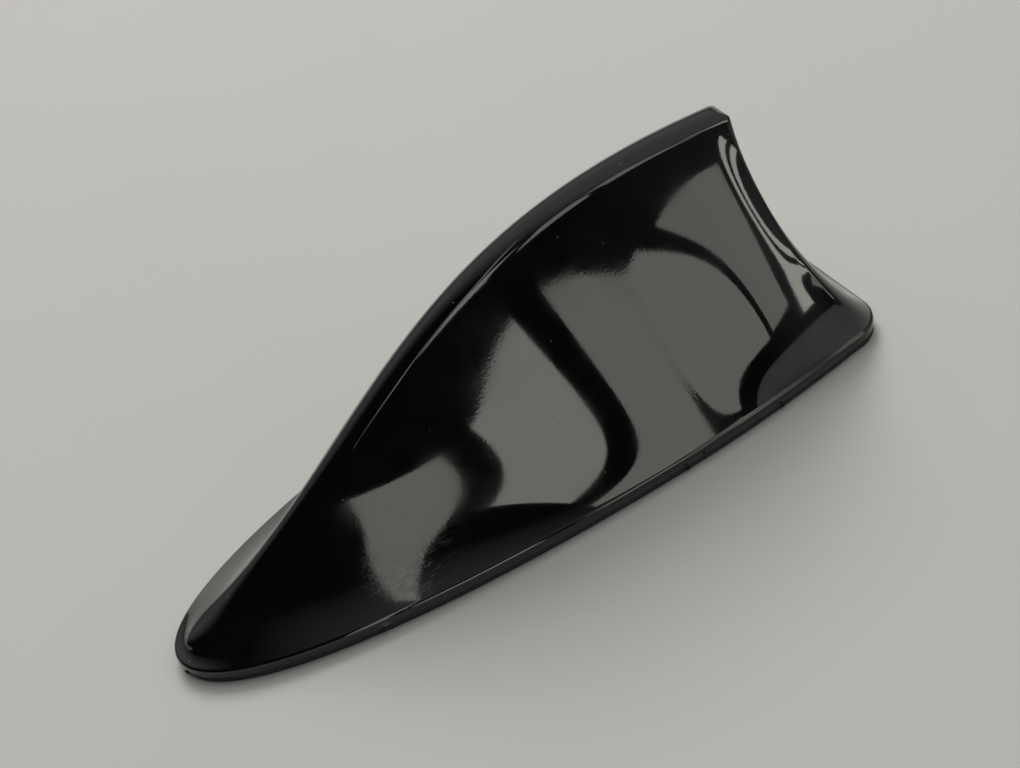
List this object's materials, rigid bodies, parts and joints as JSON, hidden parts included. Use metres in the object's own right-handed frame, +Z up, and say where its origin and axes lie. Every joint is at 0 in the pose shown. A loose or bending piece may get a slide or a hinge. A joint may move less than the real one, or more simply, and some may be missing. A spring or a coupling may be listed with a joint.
{
  "type": "car roof antenna",
  "caption": "Fin-shaped car roof antenna: gloss black moulded cover on a rubber-edged cast base, with patches, radiator and sockets inside.",
  "frame": {"origin": "middle of the rim box on the roof plane, which is the underside of the rubber seal", "axes": "+Z up from the roof; -X towards the nose; +Y to the far side of the picture"},
  "size_m": [0.16, 0.0604, 0.0558],
  "materials": {
    "gloss_paint": "black gloss lacquer over moulded ABS",
    "seal_rubber": "matt black-brown thermoplastic rubber",
    "cast_alloy": "as cast",
    "insert_steel": "turned and zinc plated",
    "seal_foam": "closed-cell foam",
    "spring_bronze": "stamped strip",
    "membrane": "white vent membrane",
    "screw_steel": "zinc plated",
    "board_laminate": "green solder mask",
    "chip_resin": "moulded resin",
    "can_sheet": "tinned sheet",
    "patch_ceramic": "fired, with a silvered top",
    "pad_tape": "adhesive foam tape",
    "pin_brass": "plated pin",
    "carrier_plastic": "natural moulded plastic",
    "radiator_brass": "stamped sheet",
    "pad_foam": "soft foam",
    "block_plastic": "moulded dark grey plastic",
    "insulator_plastic": "white insulator"
  },
  "bodies": {
    "root": {"cover": "gloss_paint", "roof_seal": "seal_rubber", "base_plate": "cast_alloy", "roof_insert": "insert_steel", "hole_seal": "seal_foam", "ground_springs": "spring_bronze", "vent_disc": "membrane", "cover_screws": "screw_steel", "main_board": "board_laminate", "board_screws": "screw_steel", "board_chips": "chip_resin", "shield_can": "can_sheet", "front_patch": "patch_ceramic", "rear_patch": "patch_ceramic", "patch_pads": "pad_tape", "feed_pins": "pin_brass", "radiator_carrier": "carrier_plastic", "radiator_sheet": "radiator_brass", "crest_pad": "pad_foam", "connector_block": "block_plastic", "connector_shells": "pin_brass", "pin_insulators": "insulator_plastic", "connector_pins": "pin_brass"}
  },
  "joints": []
}
